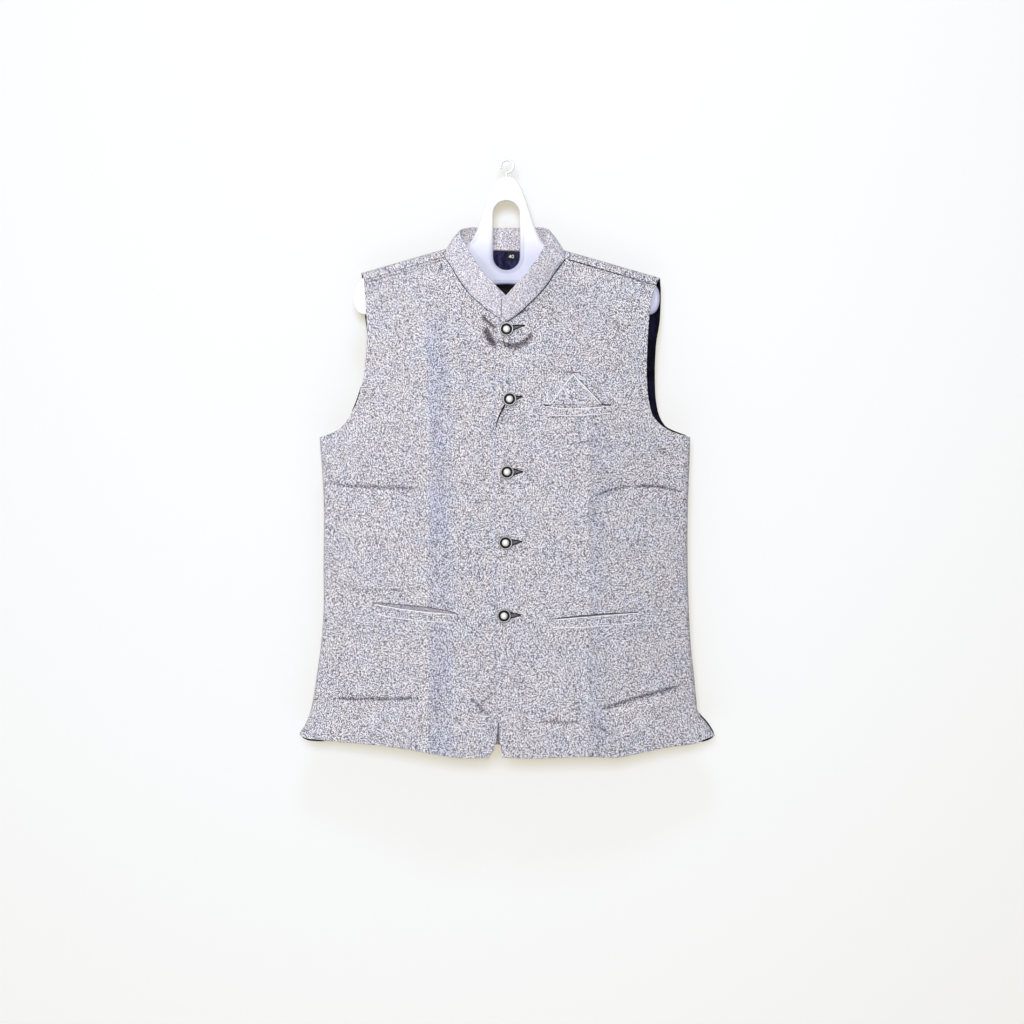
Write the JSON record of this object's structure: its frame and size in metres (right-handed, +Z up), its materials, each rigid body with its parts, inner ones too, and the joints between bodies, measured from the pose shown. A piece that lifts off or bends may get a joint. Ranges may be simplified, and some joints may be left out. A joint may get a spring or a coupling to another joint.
{
  "type": "nehru jacket on a hanger",
  "caption": "Sleeveless stand-collared jacket of grey tweed, buttoned down the front, hung on a flat white plastic hanger with a wire hook.",
  "frame": {"origin": "the point on the inside top of the hanger's hook that bears on the rail, rod or peg holding it", "axes": "+Z up; the front faces -Y; +X runs to the wearer's left"},
  "size_m": [0.585, 0.0902, 0.8349],
  "materials": {
    "grey_tweed": "grey salt-and-pepper tweed, a wool blend twill, matt",
    "satin_lining": "navy satin lining",
    "white_plastic": "white moulded plastic",
    "hook_steel": "bright steel wire",
    "button_metal": "silvered rim and dome with a blackened groove",
    "label_black": "plain black woven label"
  },
  "bodies": {
    "root": {"front_right": "grey_tweed", "front_left": "grey_tweed", "back": "grey_tweed", "collar": "grey_tweed", "chest_welt": "grey_tweed", "hip_welt_right": "grey_tweed", "hip_welt_left": "grey_tweed", "pocket_square": "grey_tweed", "lining_front_right": "satin_lining", "lining_front_left": "satin_lining", "lining_back": "satin_lining", "neck_label": "label_black", "size_tag": "label_black", "button_1": "button_metal", "button_2": "button_metal", "button_3": "button_metal", "button_4": "button_metal", "button_5": "button_metal", "hanger_board": "white_plastic", "hanger_hook": "hook_steel"}
  },
  "joints": []
}
